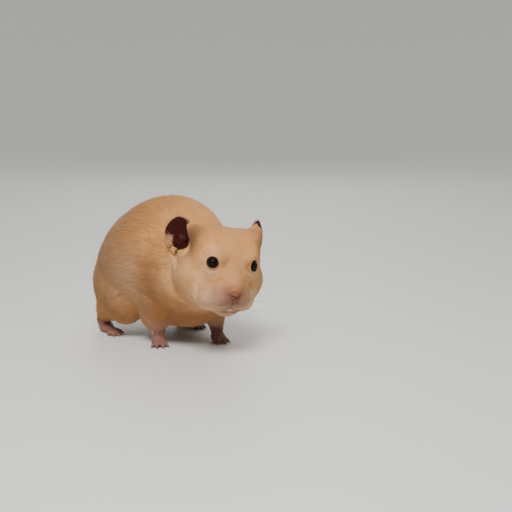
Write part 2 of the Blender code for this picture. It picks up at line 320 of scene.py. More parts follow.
def pressed(piece, folds, mirrored=True, toWorld=fromHead):
    # moves the surface out or in along each fold's path
    points, normals = pointsOf(piece), unit(evened(piece, normalsOf(piece), 4))
    tree = treeOf([piece])
    for height, width, path in folds.values():
        for sign in (1, -1) if mirrored and any(y for x, y, z in path) else (1,):
            knots = nearest(tree, toWorld([(x, y * sign, z) for x, y, z in path]))[0]
            amount = height * mm * closeness(points, knots, width * mm)
            points = points + normals * amount[:, None]
    placePoints(piece, points)


# Skin

skinValues = {
    "formGrain": 0.5 * mm,  # voxels of the outer form
    "grain": 0.32 * mm,  # voxels of the skin
    "closeGaps": 0.25 * mm,  # how far the nodes swell, to meet over the cuts between them
    "underEyes": 0.3 * mm,  # how much smaller than the eyeballs the form is there
    "triangles": 150000,
    "bareParts": {"ear": -0.05, "paw": 0.12, "nose": -0.25},  # how far these swell, in mm
    "finer": {"eye": 5.2 * mm, "nose": 3.6 * mm},  # how far round these the mesh is split again
    "formRounds": 46,  # rounds of smoothing
    "skinRounds": 16,
    "skinEase": (0.12, 1.6),  # how strongly the skin is smoothed, and how much more at its seams
    "ease": {  # how strongly the facets of each part are smoothed
        "trunk": 1.0, "neck": 1.0, "head": 0.5, "foreleg": 0.35, "hindleg": 0.8,
        "paw": 0.2, "ear": 0.3, "nose": 0.2, "tail": 0.4,
    },
    "depth": {  # how deep the skin lies under the tips of the coat, in mm
        "trunk": 2.6, "neck": 2.3, "head": 1.5, "foreleg": 0.8, "hindleg": 2.0,
        "paw": 0.1, "ear": 0.1, "nose": 0.0, "tail": 0.4,
    },
    "face": (1 * mm, 15 * mm),  # where the face starts and where the muzzle is, ahead in the head
    "faceDepth": 0.42,  # share of that depth left at the muzzle
    # how far from the eyes or ears a change starts and ends, and the share left at its start
    "easeByEyes": (4 * mm, 8 * mm, 0.25),
    "depthByEyes": (3.4 * mm, 7.5 * mm, 0.05),
    "depthByEars": (0.6 * mm, 4.5 * mm, 0.12),
    "thinFrom": (9 * mm, 22 * mm),  # how far from the muzzle the mesh starts and ends thinning
    "thinnest": ("trunk", "neck", "hindleg"),
}

lidValues = {
    "opening": 51,  # degrees from the middle of the eye to the lids' edge
    "corner": 7,  # degrees that the opening reaches further at the two corners
    "lower": 5,  # degrees that the lower lid closes further
    "thickness": 0.34 * mm,
    "behindEdge": 0.55 * mm,  # how deep the skin dives under the eyeball
    "gazeRing": (0.4 * mm, 2.4 * mm),  # ring round the eyeball that tells which way it looks
    "fitReach": 2.5 * mm,  # how far from the eyeball the skin is fitted to it
    # degrees past the edge over which the skin dives under the eyeball, hugs it and leaves it
    "dive": (-7, 0),
    "hugIn": (-2, 4),
    "hugOut": (14, 45),
    "rimReach": 1.0 * mm,  # how far from the eyeball the lids' rim may lie
    "rimSoft": 4,  # degrees over which the lids' rim fades
    "bareTo": 10,  # degrees past the edge where hair starts, and where the rim's colour ends
    "darkTo": 11,
}

noseFolds = {
    "nostril": (-0.8, 0.36, [(22.9, 0.95, -7.6), (22.2, 1.7, -7.9), (21.4, 2.2, -7.4)]),
    "noseCleft": (-0.35, 0.3, [(23.2, 0, -7.6), (22.6, 0, -9.2), (21.0, 0, -10.4)]),
    "noseWing": (0.3, 0.55, [(22.4, 1.3, -6.6), (21.2, 2.5, -6.6)]),
}


def bodyForm():
    # the body out to the tips of its coat, as one closed form
    furred = [n for part in ("trunk", "neck", "head", "foreleg", "hindleg", "tail") for n in partNodes[part]]
    masses = [nodeCopy(n, skinValues["closeGaps"]) for n in furred]
    masses += [nodeCopy(f"eye_{side}", -skinValues["underEyes"]) for side in sides]
    form = joined(masses, "form")
    applied(form, "REMESH", mode="VOXEL", voxel_size=skinValues["formGrain"])
    points = pointsOf(form)
    ease = byPart(sharesOf(partGaps(points), 3 * mm), skinValues["ease"])[:, None]
    ease *= ramp(fromEyes(points), *skinValues["easeByEyes"])[:, None]
    placePoints(form, evened(form, points, skinValues["formRounds"], ease))
    pressed(form, faceFolds)
    pressed(form, flankFolds, False, plainMm)
    return form


def sunk(form):
    # lets the form in by the depth of the coat
    points = pointsOf(form)
    gaps = partGaps(points)
    depth = byPart(sharesOf(gaps, 1.5 * mm), skinValues["depth"]) * mm
    faceness = ramp(toHead(points)[:, 0], *skinValues["face"])
    depth *= 1 - (1 - skinValues["faceDepth"]) * faceness
    depth *= ramp(fromEyes(points), *skinValues["depthByEyes"])
    depth *= ramp(gaps[:, partList.index("ear")], *skinValues["depthByEars"])
    depth = evened(form, depth[:, None], 6)
    inward = unit(evened(form, normalsOf(form), 10))
    points = evened(form, points - inward * depth, 8)
    placePoints(form, points)


def refined(piece, near, reach):
    # splits the faces around a place once more
    gap = np.linalg.norm(read(piece.data.polygons, "center", 3) - near, axis=1)
    inEditMode(piece, (bpy.ops.mesh.subdivide, {"number_cuts": 1, "smoothness": 0.6}), faces=gap < reach)
    inEditMode(piece, (bpy.ops.mesh.quads_convert_to_tris, {}))


def gazeOf(piece, side):
    # the way out of the head at the eye
    points = pointsOf(piece)
    gap = np.linalg.norm(points - eyeCentres[side], axis=1)
    low, high = lidValues["gazeRing"]
    ring = (gap > eyeRadius + low) & (gap < eyeRadius + high)
    return unit(normalsOf(piece)[ring].mean(0))


def pastLidEdge(points, side):
    # degrees, seen from the eye's middle, that each point lies outside the lids' opening
    gaze = gazes[side]
    way = unit(points - eyeCentres[side])
    angle = np.degrees(np.arccos(np.clip(way @ gaze, -1, 1)))
    level = unit(headAxes[:, 0] - gaze * (headAxes[:, 0] @ gaze))
    around = unit(way - gaze * (way @ gaze)[:, None])
    edge = lidValues["opening"] + lidValues["corner"] * np.abs(around @ level) ** 3
    return angle - edge + lidValues["lower"] * (-around @ headAxes[:, 2]).clip(0) ** 2


def onLids(points, reach):
    # 1 on the lids' edge and 0 from so many degrees outside it
    found = np.zeros(len(points))
    for side in sides:
        near = np.linalg.norm(points - eyeCentres[side], axis=1) < eyeRadius + lidValues["rimReach"]
        found += near * (1 - ramp(pastLidEdge(points, side), reach - lidValues["rimSoft"], reach))
    return found.clip(0, 1)


def fitLids(piece):
    # the skin hugs each eyeball up to the lids' edge and dives under it inside
    points = pointsOf(piece)
    for side in sides:
        out = points - eyeCentres[side]
        gap = np.linalg.norm(out, axis=1)
        way = unit(out)
        past = pastLidEdge(points, side)
        near = gap < eyeRadius + lidValues["fitReach"]
        lidLevel = eyeRadius + lidValues["thickness"]
        hug = ramp(past, *lidValues["hugIn"]) * (1 - ramp(past, *lidValues["hugOut"]))
        raised = gap + np.maximum(lidLevel - gap, 0) * hug
        inside = 1 - ramp(past, *lidValues["dive"])
        deep = np.minimum(raised, eyeRadius - lidValues["behindEdge"])
        gap = np.where(near, raised + (deep - raised) * inside, gap)
        points = eyeCentres[side] + way * gap[:, None]
    placePoints(piece, points)


# Inside the ears: the floor of the cup closes it against the head, and folds run up from it
earFloorValues = {"place": (-14.1, 18.0, 4.6), "size": (1.5, 4.0, 4.2), "turn": 50}
earFolds = {
    "curl": (0.75, 0.65, [(-11.2, 16.6, 10.5), (-12.2, 16.9, 7.0), (-13.4, 18.0, 4.6), (-14.8, 20.2, 4.9)]),
    "ridge": (0.4, 0.9, [(-15.8, 20.6, 12.5), (-14.6, 19.4, 8.5), (-14.2, 18.9, 6.4)]),
    "rimFold": (0.35, 0.6, [(-18.0, 23.0, 8.0), (-18.4, 23.4, 12.0), (-16.9, 21.4, 15.6)]),
}


def earFloor(sign):
    piece = added(bpy.ops.mesh.primitive_uv_sphere_add, segments=24, ring_count=16, radius=1)
    x, y, z = earFloorValues["place"]
    turn = Matrix.Rotation(math.radians(earFloorValues["turn"] * sign), 4, "Z")
    size = Matrix.Diagonal((*Vector(earFloorValues["size"]) * mm, 1))
    piece.data.transform(head @ Matrix.Translation(Vector((x, y * sign, z)) * mm) @ turn @ size)
    return piece


def thinned(piece, shares):
    # takes triangles away, fewest at the muzzle and most on the body
    detail = piece.vertex_groups.new(name="detail")
    gap = np.linalg.norm(pointsOf(piece) - fromHead(headValues["muzzle"]), axis=1)
    body = sum(shareOf(shares, part) for part in skinValues["thinnest"])
    spare = ramp(gap, *skinValues["thinFrom"]) * (0.35 + 0.65 * body)
    for level in range(11):
        detail.add(np.flatnonzero(np.round(spare * 10) == level).tolist(), level / 10, "REPLACE")
    applied(piece, "DECIMATE", ratio=min(1.0, skinValues["triangles"] / len(piece.data.polygons)),
            vertex_group="detail", vertex_group_factor=1.0)
    piece.vertex_groups.clear()


def makeSkin(form):
    body = newPiece("skin", form.data.copy())
    sunk(body)
    masses = [body]
    for part, swell in skinValues["bareParts"].items():
        masses += [nodeCopy(n, swell * mm, 1) for n in partNodes[part]]
    masses += [earFloor(sign) for sign in sides.values()]
    skin = joined(masses, "skin")
    applied(skin, "REMESH", mode="VOXEL", voxel_size=skinValues["grain"])
    points = pointsOf(skin)
    shares = sharesOf(partGaps(points), 1.2 * mm)
    least, atSeams = skinValues["skinEase"]
    ease = least + atSeams * (1 - np.max(shares, 1)).clip(0, 0.5)
    placePoints(skin, evened(skin, points, skinValues["skinRounds"], ease[:, None]))
    applied(skin, "TRIANGULATE")
    thinned(skin, shares)
    for centre in eyeCentres.values():
        refined(skin, centre, skinValues["finer"]["eye"])
    refined(skin, fromHead(headValues["noseTip"]), skinValues["finer"]["nose"])
    fitLids(skin)
    pressed(skin, earFolds)
    pressed(skin, noseFolds)
    skin.data.shade_smooth()
    return skin


say("skin")
form = bodyForm()
gazes = {side: gazeOf(form, side) for side in sides}
skin = makeSkin(form)
say(f"skin has {len(skin.data.polygons)} triangles")
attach(skin, "root")
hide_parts(*[n for nodes in partNodes.values() for n in nodes])


# Coat: closed tufts, each a root, a ring of three and a tip

furValues = {
    "reach": {  # how far a tuft runs along the body, in mm
        "trunk": 8.5, "neck": 7.5, "head": 4.8, "foreleg": 3.2, "hindleg": 5.0,
        "paw": 1.2, "ear": 0.9, "nose": 0.3, "tail": 2.0,
    },
    "width": {
        "trunk": 0.28, "neck": 0.26, "head": 0.2, "foreleg": 0.19, "hindleg": 0.26,
        "paw": 0.13, "ear": 0.09, "nose": 0.1, "tail": 0.16,
    },
    "density": {  # tufts to a square mm of skin
        "trunk": 8.6, "neck": 10.0, "head": 19.0, "foreleg": 11.0, "hindleg": 8.5,
        "paw": 8.0, "ear": 12.0, "nose": 0.0, "tail": 5.0,
    },
    "face": (-2 * mm, 15 * mm),  # where the face starts and where the muzzle is, ahead in the head
    "faceReach": 0.34,  # share of the head's reach left at the muzzle
    "faceDensity": 1.9,
    "faceWidth": 0.25,  # share of the width lost at the muzzle
    # where a change starts and ends, and the share of the reach left at its start
    "reachByEyes": (3.3 * mm, 8 * mm, 0.25),
    "reachByHollow": (1.0, 1.7, 0.3),
    "reachByFloor": (5 * mm, 14 * mm, 0.4),
    "reachSpread": (0.14, 0.6, 1.35),  # how tufts differ: spread, least and most
    "widthSpread": (0.15, 0.6, 1.4),
    "rootDepth": 0.15 * mm,
    "offFloor": 0.05 * mm,
    "ringAt": 0.45,  # where the ring sits between root and tip
    "bulge": 0.35,  # how far the ring stands out from the line from root to tip, of its rise
    "leastBulge": 0.02,  # and of the reach
    "flatness": 0.7,  # a tuft's thickness, of its width
    "ownNormal": 0.45,  # share of a tuft's own normals in its shading, against the body's
    "swirl": 14,  # degrees that locks turn aside
    "swirlSize": 8 * mm,
    "stray": 8,  # degrees that single tufts turn aside
    "loose": 0.085,  # how far tips stand out, as a share of the reach
    "sunk": 0.03,  # how far the lowest lie in
    "looseWaves": 0.012,  # and how that changes from place to place
    "waveSize": 3 * mm,
    "tipsFrom": 2 * mm,  # how high over the skin a tip starts, before it falls on the outer form
    "guard": 0.035,  # share of tufts that are longer, thinner and stand out more
    "guardLoose": 0.16,
    "guardReach": 1.2,
    "guardWidth": 0.6,
    "overLids": 0.46 * mm,  # how far tufts keep off the eyeballs
    "byLids": 1.1 * mm,  # how far from the eyeballs tufts follow the skin itself
    "eyeLift": 0.18 * mm,  # how far they then stand out from it
    "lieByEyes": (3.2 * mm, 7.5 * mm),  # how far from the eyes hair stops pointing away from them
    "awayFromEyes": 1.3,
    "earEdge": 2.6,  # reach added on the low rear edge of the ears, in mm
    "shortTuft": 1.6 * mm,  # tufts under this are kept, even where they turn aside
    "farthest": (1.35, 0.6 * mm),  # longest that others may come out, of their reach and besides
    "straightest": 0.62,  # least share of their length along the lie
    "limit": 32400,  # most tufts in a piece
}


def lieOfCoat(piece, shares):
    # the way the hair points at every corner of the skin
    points, normals = pointsOf(piece), normalsOf(piece)
    fromNose = toHead(points) - np.array(headValues["hairFrom"]) * mm
    overHead = unit(unit(fromNose) + np.array((-0.35, 0, -0.1))) @ headAxes.T
    ways = {
        "trunk": np.array((-1.0, 0, -0.35)), "neck": np.array((-1.0, 0, -0.4)), "head": overHead,
        "foreleg": np.array((-0.3, 0, -1.0)), "hindleg": np.array((-0.5, 0, -0.9)),
        "paw": np.array((1.0, 0, -0.2)), "ear": headAxes @ np.array((-0.35, 0, 0.94)),
        "nose": overHead, "tail": np.array((-1.0, 0, -0.1)),
    }
    lie = sum(shares[:, [i]] * unit(np.broadcast_to(ways[part], points.shape))
              for i, part in enumerate(partList))
    for side, gaze in gazes.items():
        out = points - eyeCentres[side]
        ahead = (unit(out) @ gaze)[:, None]
        away = unit(unit(out) - gaze * ahead) + unit(unit(out) * ahead - gaze)
        nearness = 1 - ramp(np.linalg.norm(out, axis=1), *furValues["lieByEyes"])
        lie += furValues["awayFromEyes"] * nearness[:, None] * away
    for _ in range(3):
        lie -= normals * np.sum(lie * normals, 1)[:, None]
        lie = evened(piece, unit(lie), 6)
    lie -= normals * np.sum(lie * normals, 1)[:, None]
    return unit(lie)


# Where the coat's pieces part: x of the rump, y of the middle behind and ahead of the neck,
# and the head's own x where the face starts
partingValues = {"rump": -22 * mm, "neck": 10 * mm, "middle": 0, "headMiddle": -4 * mm, "face": 3 * mm}


def coatRegions(centres, shares):
    # the skin's faces, sorted into the coat's pieces: each takes what those before it left
    part = np.array(partList)[shares.argmax(1)]
    local = toHead(centres)
    at = partingValues
    leftSide = centres[:, 1] > np.where(centres[:, 0] > at["neck"], at["headMiddle"], at["middle"])
    body = np.isin(part, ["trunk", "tail"])
    rear = centres[:, 0] < at["rump"]
    onHead = np.isin(part, ["head", "nose"])
    face = onHead & (local[:, 0] > at["face"])
    left = np.where(onHead, local[:, 1] > 0, leftSide)
    areas = {"rump": body & rear, "flank": body, "neck": part == "neck", "ears": part == "ear",
             "face": face, "crown": onHead, "legs": np.isin(part, ["foreleg", "hindleg", "paw"])}
    tests = {}
    for name, mask in areas.items():
        if name in ("neck", "ears"):
            tests[f"coat_{name}"] = mask
        else:
            tests[f"coat_{name}_left"] = mask & left
            tests[f"coat_{name}_right"] = mask
    return list(tests), np.select(list(tests.values()), range(len(tests)), 0)


def unwrapped(piece, region, count):
    # each region's own unwrap, filling the whole map
    only = newPiece("unwrap", piece.data.copy())
    only.data.uv_layers.new(name="OFBake")
    settings = {"angle_limit": math.radians(66), "island_margin": 0.004}
    for r in range(count):
        inEditMode(only, (bpy.ops.uv.smart_project, settings), faces=region == r)
    flat = read(only.data.uv_layers["OFBake"].data, "uv", 2)
    dropped(only)
    return flat.reshape(-1, 3, 2)


def turnedIn(vectors, normals, degrees):
    angle = np.radians(degrees)[:, None]
    return vectors * np.cos(angle) + np.cross(normals, vectors) * np.sin(angle)


def wobble(points, size, seed):
    # smooth noise from -1 to 1
    shift = Vector((seed * 7.3, seed * 3.1, seed * 5.7))
    return np.array([noise.noise(Vector(p) + shift) for p in (points / size).tolist()]) * 1.6


def lifted(points, least):
    # the points, brought out to the least height over the skin
    places, normals, _ = nearest(skinTree, points)
    height = np.sum((points - places) * normals, 1)
    return np.where((height < least)[:, None], places + normals * least, points)


# Ears, in mm in the head's frame: the hollow that each one cups, which way its open side
# looks, and the low rear edge that pale hair covers
earValues = {
    "hollowPlace": (1.0, 0.2, -2.0),  # from the ear's middle
    "hollowSize": (4.2, 6.4, 6.5),
    "hollowTurn": 50,
    # shares of the hollow's size: where tips end, and where bareness and the dark skin, painted shade in
    # part, fade
    "hollowEdge": 0.8,
    "bareFade": (0.85, 1.05),
    "darkFade": (1.0, 1.2),
    "facing": (0.62, 0.74, 0.1),
    "facingFade": (0.0, 0.35),
    "edgeBelow": (3.0, 10.5),
    "edgeOut": (26.0, 28.4),
    "edgeSlant": 0.4,
}


def inHollow(points):
    # under 1 within the hollow of either ear
    found = np.full(len(points), 9.0)
    for side, sign in sides.items():
        centre = toHead(np.array(middle(f"ear_{side}"))[None])[0]
        centre = centre + np.array(earValues["hollowPlace"]) * (1, sign, 1) * mm
        turn = math.radians(earValues["hollowTurn"]) * sign
        local = toHead(points) - centre
        along = local[:, 0] * math.cos(turn) + local[:, 1] * math.sin(turn)
        aside = local[:, 1] * math.cos(turn) - local[:, 0] * math.sin(turn)
        size = np.array(earValues["hollowSize"]) * mm
        scaled = np.stack([along, aside, local[:, 2]], 1) / size
        found = np.minimum(found, np.linalg.norm(scaled, axis=1))
    return found


def earEdge(points):
    # 1 on the low rear edge of either ear
    x, y, z = (toHead(points) / mm).T
    outward = ramp(np.abs(y) - earValues["edgeSlant"] * x, *earValues["edgeOut"])
    return (1 - ramp(z, *earValues["edgeBelow"])) * outward


def insideEar(points, normals):
    # 1 on the open side of an ear and 0 on its back
    inside = np.zeros(len(points))
    for sign in sides.values():
        facing = headAxes @ unit(np.array(earValues["facing"]) * (1, sign, 1))
        thisSide = toHead(points)[:, 1] * sign > 0
        inside += thisSide * ramp(normals @ facing, *earValues["facingFade"])
    return inside


def bareness(points, normals, gaps):
    # where no hair grows: the nose pad, the lids' edges and the inside of the ears
    shares = sharesOf(gaps, 0.5 * mm)
    inner = shareOf(shares, "ear") * insideEar(points, normals)
    inner = np.maximum(inner, 1 - ramp(inHollow(points), *earValues["bareFade"])) * (1 - earEdge(points))
    onRims = onLids(points, lidValues["bareTo"])
    return np.maximum.reduce([shareOf(shares, "nose"), onRims, inner])


def rootsOn(faces, chance, fields, uv):
    # faces hold the skin's corner numbers and their own; fields hold its values at the corners.
    # Roots are spread evenly by chance, and each gets the fields at its place
    total = np.cumsum(chance[faces[:, 3]])
    count = min(int(total[-1]), furValues["limit"])
    draw = (np.arange(count) + luck.random(count)) / count * total[-1]
    pick = faces[np.minimum(np.searchsorted(total, draw), len(faces) - 1)]
    a, b = np.sqrt(luck.random(count)), luck.random(count)
    weights = np.stack([1 - a, a * (1 - b), a * b], 1)
    found = {name: np.einsum("ij,ij...->i...", weights, values[pick[:, :3]])
             for name, values in fields.items()}
    found["patch"] = np.einsum("ij,ijk->ik", weights, uv[pick[:, 3]])
    return found


def varied(sizes, spread, guard, guardShare):
    # no two tufts are alike, and guard hairs differ most
    around, least, most = spread
    return sizes * luck.normal(1, around, len(sizes)).clip(least, most) * np.where(guard, guardShare, 1)


def tipsOf(roots, normals, lie, reach, guard, outside):
    # tips lie on the outer form, but by the lids they follow the skin itself
    goal = roots + lie * reach[:, None]
    tips, tipNormals, _ = nearest(outside, goal + normals * furValues["tipsFrom"])
    loose = furValues["loose"] * luck.random(len(roots)) - furValues["sunk"]
    loose += furValues["looseWaves"] * wobble(roots, furValues["waveSize"], 2)
    loose += guard * furValues["guardLoose"] * luck.random(len(roots))
    tips = tips + tipNormals * (reach * loose)[:, None]
    byLids = fromEyes(roots) < eyeRadius + furValues["byLids"]
    tips[byLids], tipNormals[byLids] = goal[byLids], normals[byLids]
    return tips, tipNormals


def bendsOf(roots, tips, normals, reach):
    # where the ring of each tuft stands
    rise = np.sum((tips - roots) * normals, 1).clip(0)
    lift = rise * furValues["bulge"] + reach * furValues["leastBulge"]
    share = furValues["ringAt"]
    return roots * (1 - share) + tips * share + normals * lift[:, None]


def tufts(roots, bends, tips, normals, width):
    # the root, the ring of three and the tip of every tuft
    axis = unit(tips - roots)
    across = unit(np.cross(normals, axis))
    over = np.cross(axis, across) * furValues["flatness"]
    rings = []
    for angle in (90, 210, 330):
        turn = math.radians(angle)
        way = across * math.cos(turn) + over * math.sin(turn)
        rings.append(bends + way * (width / 2)[:, None])
    return np.stack([roots - normals * furValues["rootDepth"], *rings, tips], 1)


def keptTufts(roots, tips, lie, reach):
    # leaves out what would fill an ear, or lands far off its way
    span = tips - roots
    size = np.linalg.norm(span, axis=1)
    more, besides = furValues["farthest"]
    onWay = (size < reach * more + besides) & (np.sum(span * lie, 1) > furValues["straightest"] * size)
    outOfEar = (inHollow(tips) > earValues["hollowEdge"]) | (earEdge(roots) > 0.5)
    return outOfEar & ((size < furValues["shortTuft"]) | onWay)


def offEyes(points):
    # moves all but the roots out to clear the eyeballs
    standing = np.arange(len(points))[:, None] % tuftCorners > 0
    clear = eyeRadius + furValues["overLids"]
    for centre in eyeCentres.values():
        out = points - centre
        gap = np.linalg.norm(out, axis=1, keepdims=True)
        points = np.where((gap < clear) & standing, centre + out / gap * clear, points)
    return points


def growCoat(name, faces, chance, fields, uv, outside):
    found = rootsOn(faces, chance, fields, uv)
    roots, normals, lie = found["place"], unit(found["normal"]), unit(found["lie"])
    count = len(roots)
    guard = luck.random(count) < furValues["guard"]
    reach = varied(found["reach"], furValues["reachSpread"], guard, furValues["guardReach"])
    width = varied(found["width"], furValues["widthSpread"], guard, furValues["guardWidth"])
    turn = furValues["swirl"] * wobble(roots, furValues["swirlSize"], 1)
    lie = turnedIn(lie, normals, turn + furValues["stray"] * luck.normal(0, 1, count))
    tips, tipNormals = tipsOf(roots, normals, lie, reach, guard, outside)
    bends = bendsOf(roots, tips, normals, reach)
    nearEye = np.flatnonzero(fromEyes(roots) < eyeRadius + 2 * furValues["byLids"])
    if len(nearEye):
        tips[nearEye] = lifted(tips[nearEye], furValues["eyeLift"])
        bends[nearEye] = lifted(bends[nearEye], furValues["eyeLift"] * 0.6)
    keep = keptTufts(roots, tips, lie, reach)
    points = tufts(roots, bends, tips, normals, width)[keep].reshape(-1, 3)
    points[:, 2] = np.maximum(points[:, 2], furValues["offFloor"])
    return tuftMesh(name, offEyes(points), roots[keep], found["patch"][keep], tipNormals[keep])


# Corners of a tuft's six triangles, and where each lies in its patch of the map
tuftCorners = 5
tuftFaces, patchPlaces = [], []
patchSize = 0.003  # of the map
for k in range(3):
    left, right, mid = k / 3, (k + 1) / 3, (k + 0.5) / 3
    one, two = 1 + k, 1 + (k + 1) % 3
    tuftFaces += [(two, one, 0), (one, two, 4)]
    patchPlaces += [((right, 0.4), (left, 0.4), (mid, 0.0)), ((left, 0.4), (right, 0.4), (mid, 1.0))]
patchPlaces = (np.array(patchPlaces).reshape(-1, 2) - 0.5) * patchSize


def addValues(mesh, name, kind, values):
    layer = mesh.attributes.new(name, kind, "POINT")
    layer.data.foreach_set("vector" if kind == "FLOAT_VECTOR" else "value", np.ravel(values))


def tuftMesh(name, points, roots, patch, soft):
    # soft holds the body's normal at each tip
    count = len(roots)
    mesh = bpy.data.meshes.new(name)
    mesh.vertices.add(len(points))
    mesh.vertices.foreach_set("co", points.ravel())
    corners = (np.arange(count)[:, None] * tuftCorners + np.array(tuftFaces).ravel()).ravel()
    mesh.loops.add(len(corners))
    mesh.loops.foreach_set("vertex_index", corners)
    mesh.polygons.add(len(corners) // 3)
    mesh.polygons.foreach_set("loop_start", np.arange(0, len(corners), 3))
    mesh.update(calc_edges=True)
    mesh.shade_smooth()
    mesh.uv_layers.new(name="OFBake")
    spots = (patch[:, None, :] + patchPlaces).clip(0, 1)
    mesh.uv_layers["OFBake"].data.foreach_set("uv", spots.ravel())
    addValues(mesh, "rootPlace", "FLOAT_VECTOR", np.repeat(roots, tuftCorners, axis=0))
    addValues(mesh, "tuftAlong", "FLOAT", np.tile((0, *[furValues["ringAt"]] * 3, 1.0), count))
    addValues(mesh, "tuftSeed", "FLOAT", np.repeat(luck.random(count), tuftCorners))
    own, share = read(mesh.vertex_normals, "vector", 3), furValues["ownNormal"]
    shading = unit(own * share + np.repeat(soft, tuftCorners, axis=0) * (1 - share))
    mesh.normals_split_custom_set_from_vertices(shading)
    return newPiece(name, mesh)


def makeCoat():
    points, normals = pointsOf(skin), normalsOf(skin)
    gaps = partGaps(points)
    shares = sharesOf(gaps, 1.6 * mm)
    faceness = ramp(toHead(points)[:, 0], *furValues["face"])
    reach = byPart(shares, furValues["reach"]) * (1 - (1 - furValues["faceReach"]) * faceness)
    reach *= ramp(fromEyes(points), *furValues["reachByEyes"])
    reach *= ramp(inHollow(points), *furValues["reachByHollow"])
    reach += shareOf(shares, "ear") * earEdge(points) * furValues["earEdge"]
    reach *= ramp(points[:, 2], *furValues["reachByFloor"])
    density = byPart(shares, furValues["density"])
    density = density * (1 + (furValues["faceDensity"] - 1) * faceness * shareOf(shares, "head"))
    density *= 1 - ramp(bareness(points, normals, gaps), 0.3, 0.7)
    fields = {
        "place": points,
        "normal": unit(evened(skin, normals, 3)),
        "lie": lieOfCoat(skin, shares),
        "reach": reach * mm,
        "width": byPart(shares, furValues["width"]) * (1 - furValues["faceWidth"] * faceness) * mm,
    }
    faces = read(skin.data.polygons, "vertices", 3, int)
    area = read(skin.data.polygons, "area", 1)
    chance = area * density[faces].mean(1) / mm ** 2
    names, region = coatRegions(points[faces].mean(1), shares[faces].mean(1))
    say("unwrapping the coat")
    uv = unwrapped(skin, region, len(names))
    numbered = np.column_stack([faces, np.arange(len(faces))])
    bareNodes = [n for part in ("paw", "ear", "nose") for n in partNodes[part]]
    outside = treeOf([form] + [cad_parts[n] for n in bareNodes])
    coat = []
    for r, name in enumerate(names):
        piece = growCoat(name, numbered[region == r], chance, fields, uv, outside)
        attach(piece, "root")
        coat.append(piece)
        say(f"{name} has {len(piece.data.polygons)} triangles")
    return coat


say("coat")
skinTree = treeOf([skin])
coat = makeCoat()
dropped(form)


# Materials

def tint(red, green, blue):
    # a colour given as on a paint chart, 0 to 255
    return tuple((v / 255) ** 2.2 for v in (red, green, blue)) + (1.0,)


def addNode(tree, kind, inputs=None, **settings):
    # each input is a value, or the output that feeds it
    made = tree.nodes.new("ShaderNode" + kind)
    for name, value in settings.items():
        setattr(made, name, value)
    for name, value in (inputs or {}).items():
        if isinstance(value, bpy.types.NodeSocket):
            tree.links.new(value, made.inputs[name])
        else:
            made.inputs[name].default_value = value
    return made


def mixColour(tree, amount, first, second, blend="MIX"):
    made = addNode(tree, "Mix", {0: amount, 6: first, 7: second}, data_type="RGBA", blend_type=blend)
    return made.outputs[2]


def calc(tree, operation, *values):
    return addNode(tree, "Math", dict(enumerate(values)), operation=operation).outputs[0]


def attribute(tree, name, output="Fac"):
    return addNode(tree, "Attribute", attribute_name=name).outputs[output]


def noiseOn(tree, place, scale, detail=2.0):
    return addNode(tree, "TexNoise", {"Vector": place, "Scale": scale, "Detail": detail})


furTints = {
    "root": tint(172, 136, 108),  # multiplies the coat's colour at the root
    "rootShare": 0.35,
    "rootFade": 2.5,  # how fast that ends along the tuft
    "lightness": (0.9, 1.08),  # of the darkest and the lightest tuft
    "ear": tint(150, 118, 100),
}
skinTints = {
    "lightness": (0.75, 1.25),
    "underCoat": tint(226, 204, 186),  # multiplies the coat's colour on the skin
    # the paws' and tail's pink skin, darkened in part as painted shade
    "paw": tint(126, 88, 78),
    "nose": tint(112, 74, 58),
    "earBack": tint(160, 122, 108),
    # the inside of the ears: dark skin, and painted shade deep in the cup
    "earInsideDarkAndShade": tint(52, 17, 5),
    "lid": tint(42, 24, 19),
    # painted shade in the nostrils and the cleft between them
    "nostril": tint(60, 32, 28),
    "pawHeight": (5.5 * mm, 8 * mm),  # the paws' colour fades out between these
    "mottleScale": 900.0,
    "wrinkleScale": 2600.0,
    "wrinkleShare": 0.6,  # against the mottle, in the height of the bumps
    "bumps": 0.12 * mm,
}

# Markings: soft ellipsoids of colour over the base coat, some the coat's own colour and others painted shade
# and painted light, as noted at each, given as place, size, colour and strength, in mm. Those of the head
# are in its frame, and have a twin where y isn't 0.
baseCoat = tint(224, 158, 94)
headMarkingsAndShading = {
    "eyeRing": ((10.6, 9.5, 4.4), (5.0, 5.0, 5.0), tint(236, 198, 160), 0.6),
    # painted light: the cheek is lighter where its bulge faces the light, against the painted shade behind
    # it
    "cheek": ((-2, 15, -8), (15, 14, 13), tint(240, 184, 124), 0.85),
    "underEye": ((11.5, 11, -0.8), (5.5, 5, 3.6), tint(238, 192, 144), 0.6),
    "muzzleSide": ((17, 4.5, -11.5), (8, 7.5, 7), tint(186, 144, 126), 0.8),
    "noseBridge": ((15, 0, 1), (9, 7, 6), tint(200, 146, 104), 0.65),
    "brow": ((12, 0, 9), (9, 10, 7), tint(202, 144, 92), 0.6),
    "muzzleFront": ((21, 0, -8.5), (5, 8, 6), tint(148, 106, 90), 0.7),
    "jaw": ((12, 9.5, -13.5), (10, 7.5, 6.5), tint(246, 202, 158), 0.65),
    # painted shade: the fold below the eye, between the cheek and the whisker pad
    "cheekLowShade": ((4, 18, -12), (6, 6, 5), tint(204, 150, 102), 0.5),
    "chin": ((14, 0, -17), (8, 8, 4.5), tint(214, 172, 146), 0.85),
    # painted shadow: the fur in front of each ear's base, in the ear's shadow
    "earFrontShadow": ((-0.5, 15.5, 10), (6, 5.5, 7), tint(116, 80, 62), 0.85),
    # painted shade in the crease of the mouth, under the overhanging lip
    "mouthLineShade": ((17.2, 2.6, -15.4), (1.6, 3.2, 0.9), tint(104, 58, 48), 0.75),
}
